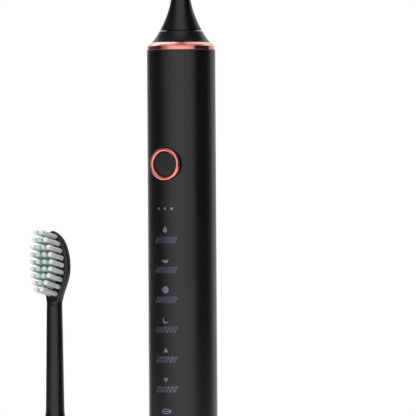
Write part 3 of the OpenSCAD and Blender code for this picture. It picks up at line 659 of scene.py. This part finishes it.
brush("head_", "brush_head", Vector((AXIS.x, AXIS.y, HEAD_Z)))
brush("spare_", "spare_head", Vector((SPARE.x, AXIS.y, SPARE_Z)))

# ---------------------------------------------------------------- shoulder, trim ring and button

HANDLE = Vector((AXIS.x, AXIS.y, FOOT))
ring_low, ring_high = (RING_LOW.z - FOOT) / MM, (RING_HIGH.z - FOOT) / MM
head_h = (HEAD_Z - FOOT) / MM
GAP = 0.25  # under the brush head
shoulder_top = head_h - GAP
shoulder_tall = shoulder_top - ring_high
WALL_R = HANDLE_R - 1.6  # inside of the housing
RING_BORE = WALL_R - 0.4
SPIGOT_R = WALL_R - 0.08
SPIGOT_FOOT, SPIGOT_FLOOR = 154.0, 160.3
GROOVE_R, GROOVE_LOW, GROOVE_TOP = 10.4, 156.7, 158.3  # for the collar's seal
CAVITY_R, SLEEVE_R, SLEEVE_ROOF = 9.9, 5.05, 2.5
NOSE_BORE, NOSE_R, NOSE_H = 2.6, 5.4, 0.2


def shoulder_radius(t):
    """Radius at fraction t down from the shoulder's top edge."""
    return flare(-GAP - shoulder_tall * t) + 0.38 * t**3


nose_top = shoulder_top + NOSE_H
collar = [(SLEEVE_R, SPIGOT_FLOOR), (SLEEVE_R, shoulder_top - SLEEVE_ROOF)]
collar += [(NOSE_BORE, shoulder_top - SLEEVE_ROOF), (NOSE_BORE, nose_top)]
collar += [(NOSE_R - 0.1, nose_top), (NOSE_R, nose_top - 0.1), (NOSE_R, shoulder_top)]
collar += [(shoulder_radius(0) - 0.1, shoulder_top), (shoulder_radius(0), shoulder_top - 0.1)]
collar += [(shoulder_radius(i / 40), shoulder_top - shoulder_tall * i / 40) for i in range(2, 41)]
collar += [(RING_BORE - 0.08, ring_high - 0.02), (RING_BORE - 0.08, ring_low - 0.1)]
collar += [(SPIGOT_R, ring_low - 0.1), (SPIGOT_R, GROOVE_TOP), (GROOVE_R, GROOVE_TOP)]
collar += [(GROOVE_R, GROOVE_LOW), (SPIGOT_R, GROOVE_LOW), (SPIGOT_R, SPIGOT_FOOT)]
collar += [(CAVITY_R, SPIGOT_FOOT), (CAVITY_R, SPIGOT_FLOOR)]
verts, faces = turned(collar, 160)
verts = moved(verts, UPRIGHT, HANDLE)
piece("shoulder_skin", verts, faces, SHOULDER, "handle", "shell_black", "shoulder_collar")

band_top = ring_low + BAND_H
band_r, BULGE = HANDLE_R - 0.1, 0.06
bevel_w, bevel_h = band_r - RING_BORE, ring_high - band_top
trim = fillet([(RING_BORE, ring_low), (band_r, ring_low), (band_r, band_top - 0.01)], [0, 0.12, 0], 6)
for i in range(25):
    t = i / 24
    bulge = BULGE * math.sin(math.pi * t)
    trim.append((band_r - bevel_w * t + bulge, band_top + bevel_h * t + bulge))
verts, faces = turned(trim, 192)
verts = moved(verts, UPRIGHT, HANDLE)
piece("trim_ring_skin", verts, faces, ROSE, "handle", "rose_gold", "trim_ring", crease=60)

ring_out = (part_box("button_ring")[1].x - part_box("button_ring")[0].x) / 2 / MM
ring_in, boss = 4.85, 13.2  # the ring's inner radius, and its seat's distance from the handle's axis
RING_SINK = 1.8  # how far the ring reaches into its seat
CAP_BACK, CAP_FRONT, CAP_DOME = 12.0, 13.5, 0.12  # the button, from the handle's axis
STEM_R, STEM_END = 2.0, 10.92  # the peg behind the button, which meets the switch
half, mid = (ring_out - ring_in) / 2, (ring_out + ring_in) / 2
crown = [(mid + half * math.cos(math.pi * i / 32), boss + math.sin(math.pi * i / 32)) for i in range(33)]
button_rim = [(ring_in, boss - RING_SINK), (ring_in + 0.3, boss - RING_SINK), (ring_in + 0.3, boss)] + crown
button_at = Vector((AXIS.x, AXIS.y, BUTTON.z))
verts, faces = turned(button_rim, 160)
verts = moved(verts, FORWARD, button_at)
piece("button_ring_skin", verts, faces, ROSE_BUTTON, "handle", "rose_gold", "button_ring", crease=60)

cap_r = (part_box("power_button")[1].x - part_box("power_button")[0].x) / 2 / MM
flat_r = cap_r - 0.35
dome = [(flat_r - flat_r * i / 16, CAP_FRONT + CAP_DOME * (1 - (1 - i / 16) ** 2)) for i in range(17)]
button_cap = [(0.0, STEM_END), (STEM_R, STEM_END), (STEM_R, CAP_BACK), (cap_r, CAP_BACK)]
button_cap += [(cap_r, CAP_FRONT - 0.3), (cap_r - 0.1, CAP_FRONT - 0.1)] + dome
verts, faces = turned(button_cap, 128)
verts = moved(verts, FORWARD, button_at)
piece("button_cap_skin", verts, faces, BUTTON_CAP, "button", "button_black", "power_button")

# ---------------------------------------------------------------- legend marks under the mode windows

BATTERY_Z = 89.7 - 6 * 11.95  # the seventh window, from the handle's foot
MODES = 6
MARKS_TOP, MARK_PITCH = 85.4, 11.75  # the first label's middle, and the labels' distance
MARK_STEP, MARK_RISE = 1.62, 0.64  # between rings in a row, and from the label's middle to a row
BAR_W, BAR_H, BAR_OFF = 2.7, 0.5, 0.42  # the two dark bars on the battery window
INK_TOP, INK_FOOT = HANDLE_R + 0.012, HANDLE_R - 0.02


class Print:
    """Thin printed shapes wrapped on the handle, closed and slightly raised."""

    def __init__(self):
        self.verts, self.faces = [], []

    def corner(self, radius, s, z):
        a = s / HANDLE_R
        self.verts.append((radius * math.sin(a), -radius * math.cos(a), z))

    def band(self, inner, outer):
        """The area between two matching outlines of (across, height) points."""
        start, n = len(self.verts), len(inner)
        for radius in (INK_FOOT, INK_TOP):
            for outline in (inner, outer):
                for s, z in outline:
                    self.corner(radius, s, z)
        foot_in, foot_out, top_in, top_out = (start + k * n for k in range(4))
        for k in range(n):
            j = (k + 1) % n
            self.faces.append((top_in + k, top_in + j, top_out + j, top_out + k))
            self.faces.append((foot_in + j, foot_in + k, foot_out + k, foot_out + j))
            self.faces.append((foot_in + k, foot_in + j, top_in + j, top_in + k))
            self.faces.append((foot_out + j, foot_out + k, top_out + k, top_out + j))

    def ring(self, s, z, r, wide, steps=28):
        angles = [2 * math.pi * k / steps for k in range(steps)]
        self.band(*[[(s + q * math.cos(a), z + q * math.sin(a)) for a in angles] for q in (r - wide, r)])

    def pill(self, s, z, wide, high):
        """A bar with round ends, filled from its middle line out, in steps that follow the handle's curve."""
        r, reach, steps, out = high / 2, (wide - high) / 2, 12, []
        for side in (1, -1):
            for k in range(steps + 1):
                a = math.radians(-90 + 180 * k / steps)
                out.append((s + side * (reach + r * math.cos(a)), z + side * r * math.sin(a)))
            for k in range(1, steps):
                out.append((s + side * reach * (1 - 2 * k / steps), z + side * r))
        self.band([(x, z + (y - z) * 0.001) for x, y in out], out)


# The lettering under each window is left out. Two staggered rows of plain rings take its place, and the
# columns of rings with a dot in them count the modes.
marks = Print()
for mode in range(MODES):
    for i in range(MODES):
        for row in (-1, 1):
            across = (i - (MODES - 1) / 2 + row / 4) * MARK_STEP
            z = MARKS_TOP - mode * MARK_PITCH + row * MARK_RISE
            marks.ring(across, z, 0.6, 0.18)
            if i <= mode:
                marks.ring(across, z, 0.2, 0.195)
verts = moved(marks.verts, UPRIGHT, HANDLE)
piece("legend_marks", verts, marks.faces, LEGEND, "handle", "window_grey", crease=30)

# A dark print over the lowest window leaves only its outline and a bar of light.
mask = Print()
for off in (BAR_OFF, -BAR_OFF):
    mask.pill(0.0, BATTERY_Z + off, BAR_W, BAR_H)
verts = moved(mask.verts, UPRIGHT, HANDLE)
piece("battery_mask", verts, mask.faces, MASK, "handle", "button_black", crease=30)

# ---------------------------------------------------------------- floor and light

FLOOR_R, FADE_FROM, FADE_TO = 0.62, 0.2, 0.6
floor_mesh = bpy.data.meshes.new("floor")
bm = bmesh.new()
bmesh.ops.create_circle(bm, cap_ends=True, segments=128, radius=FLOOR_R)
bm.to_mesh(floor_mesh)
bm.free()
floor = bpy.data.objects.new("floor", floor_mesh)
floor.location = (0, 0, cad_low.z - 0.0002)
bpy.context.scene.collection.objects.link(floor)
pale = Paint("pale_floor").set(specular=0.1)
pale.material.surface_render_method = "BLENDED"
length = pale.add("ShaderNodeVectorMath", operation="LENGTH")
pale.join(pale.place(), length.inputs[0])
fade = pale.add("ShaderNodeMapRange", interpolation_type="SMOOTHSTEP")
for key, value in (("From Min", FADE_FROM), ("From Max", FADE_TO), ("To Min", 1.0), ("To Max", 0.0)):
    fade.inputs[key].default_value = value
pale.join(length.outputs["Value"], fade.inputs["Value"])
pale.wear(fade.outputs["Result"], "Alpha")
tone = pale.ramp(pale.noise(40, 3), [(0.3, (0.86, 0.86, 0.86)), (0.7, (0.89, 0.89, 0.89))])
pale.wear(tone, "Base Color")
pale.wear(pale.span(pale.noise(3, 3), 0.7, 0.85), "Roughness")
floor_mesh.materials.append(pale.material)

# Two lamps for the bristles, one in front on the left and one above. Glossy surfaces don't show them.
aim = Vector((SPARE.x, AXIS.y, 0.09))
for name, energy, size, way in (
    ("front_lamp", 5.8, 0.35, (TO_CAMERA * 0.6 - RIGHT * 0.62 + Vector((0, 0, 0.55))) * 0.9),
    ("top_lamp", 3.0, 0.25, TO_CAMERA * 0.2 + RIGHT * 0.35 + Vector((0, 0, 0.85))),
):
    lamp = bpy.data.objects.new(name, bpy.data.lights.new(name, "AREA"))
    lamp.data.shape, lamp.data.size, lamp.data.energy = "DISK", size, energy
    lamp.location = aim + way
    lamp.rotation_mode = "QUATERNION"
    lamp.rotation_quaternion = (-way).to_track_quat("-Z", "Y")
    lamp.visible_glossy = False
    bpy.context.scene.collection.objects.link(lamp)

# A studio in the world: broad panels round the object. Angles are counted from the camera's side towards
# the viewer's right, and heights are sines, from -1 straight below to 1 straight above.
world = bpy.data.worlds.new("studio")
bpy.context.scene.world = world
world.use_nodes = True
sky = world.node_tree
sky.nodes.clear()


def sky_node(kind, **values):
    made = sky.nodes.new(kind)
    for key, value in values.items():
        setattr(made, key, value)
    return made


def dot(direction):
    made = sky_node("ShaderNodeVectorMath", operation="DOT_PRODUCT")
    sky.links.new(ray.outputs["Generated"], made.inputs[0])
    made.inputs[1].default_value = direction
    return made.outputs["Value"]


def sky_ramp(source, low, high, stops):
    """Grey levels at stops between low and high of the source value."""
    share = sky_node("ShaderNodeMapRange")
    share.inputs["From Min"].default_value, share.inputs["From Max"].default_value = low, high
    sky.links.new(source, share.inputs["Value"])
    made = sky_node("ShaderNodeValToRGB")
    parts = made.color_ramp.elements
    while len(parts) < len(stops):
        parts.new(0.5)
    for part, (at, light) in zip(parts, stops):
        part.position = (at - low) / (high - low)
        part.color = (light, light, light, 1)
    sky.links.new(share.outputs["Result"], made.inputs["Fac"])
    return made.outputs["Color"]


def sky_mix(factor, a, b):
    made = sky_node("ShaderNodeMix", data_type="RGBA")
    for socket, value in zip((made.inputs[0], made.inputs[6], made.inputs[7]), (factor, a, b)):
        if isinstance(value, bpy.types.NodeSocket):
            sky.links.new(value, socket)
        else:
            socket.default_value = (value, value, value, 1)
    return made.outputs[2]


ray = sky_node("ShaderNodeTexCoord")
around = sky_node("ShaderNodeMath", operation="ARCTAN2")
sky.links.new(dot(RIGHT), around.inputs[0])
sky.links.new(dot(TO_CAMERA), around.inputs[1])
degrees = sky_node("ShaderNodeMath", operation="DEGREES")
sky.links.new(around.outputs[0], degrees.inputs[0])
angle, rise = degrees.outputs[0], dot((0, 0, 1))
level = sky_ramp(angle, -180, 180, [
    (-180, 0.95), (-150, 0.8), (-146, 0.24), (-110, 0.08), (-80, 0.03), (-72, 0.12), (-60, 0.38), (-45, 0.8),
    (-25, 1.12), (5, 1.12), (28, 1.0), (43, 0.7), (48, 0.06), (60, 0.03), (106, 0.03), (114, 0.5),
    (130, 0.75), (150, 0.85), (180, 0.95),
])
upper = sky_ramp(angle, -180, 180, [
    (-180, 1.6), (-170, 3.0), (-146, 3.0), (-138, 0.2), (-75, 0.05), (-55, 0.35), (-25, 1.1), (22, 1.0),
    (46, 0.15), (60, 0.04), (105, 0.04), (136, 0.15), (142, 1.6), (170, 1.8), (180, 1.6),
])
FLOOR_GREY, CROWN_FRONT = 0.35, 0.15
behind = sky_ramp(dot(TO_CAMERA), -1, 1, [(-1, 1), (-0.12, 1), (0.0, 0), (1, 0)])
crown_back = sky_ramp(dot(RIGHT), -1, 1, [
    (-1, 2.6), (-0.33, 2.2), (-0.23, 1.1), (-0.15, 0.42), (0.07, 0.42), (0.13, 0.95), (1, 1),
])
crown_light = sky_mix(behind, CROWN_FRONT, crown_back)
below = sky_ramp(rise, -1, 1, [(-1, 1), (-0.5, 1), (-0.2, 0), (1, 0)])
above = sky_ramp(rise, -1, 1, [(-1, 0), (0.42, 0), (0.62, 1), (1, 1)])
overhead = sky_ramp(rise, -1, 1, [(-1, 0), (0.86, 0), (0.93, 0.5), (0.975, 1), (1, 1)])
light = sky_mix(below, level, FLOOR_GREY)
light = sky_mix(above, light, upper)
light = sky_mix(overhead, light, crown_light)
studio = sky_node("ShaderNodeBackground")
sky.links.new(light, studio.inputs["Color"])
plain = sky_node("ShaderNodeBackground")
plain.inputs["Color"].default_value = (1, 1, 1, 1)
path = sky_node("ShaderNodeLightPath")
choice = sky_node("ShaderNodeMixShader")
sky.links.new(path.outputs["Is Camera Ray"], choice.inputs[0])
sky.links.new(studio.outputs[0], choice.inputs[1])
sky.links.new(plain.outputs[0], choice.inputs[2])
out = sky_node("ShaderNodeOutputWorld")
sky.links.new(choice.outputs[0], out.inputs["Surface"])
